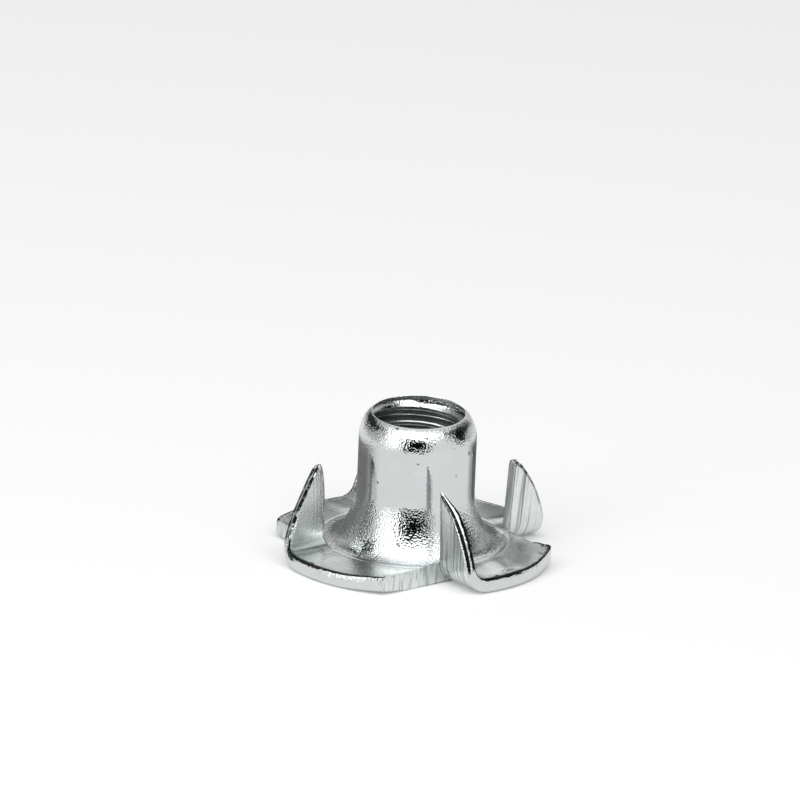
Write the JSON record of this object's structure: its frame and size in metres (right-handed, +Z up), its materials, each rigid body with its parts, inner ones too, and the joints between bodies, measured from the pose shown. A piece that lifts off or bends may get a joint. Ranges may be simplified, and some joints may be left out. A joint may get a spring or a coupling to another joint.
{
  "type": "tee nut",
  "caption": "Four-prong tee nut for wood: a round flange with bent-up prongs and a short barrel with an M8 thread, drawn from zinc-plated steel sheet.",
  "frame": {"origin": "on the axis of the barrel, in the plane of the underside of the flange, which is what it stands on", "axes": "+Z up along the barrel, from the flange to the mouth; +X through one of the four lobes, beside its prong"},
  "size_m": [0.022, 0.022, 0.0116],
  "materials": {
    "zinc_steel": "bright zinc plate on drawn steel sheet, satin"
  },
  "bodies": {
    "root": {"tee_nut": "zinc_steel"}
  },
  "joints": []
}
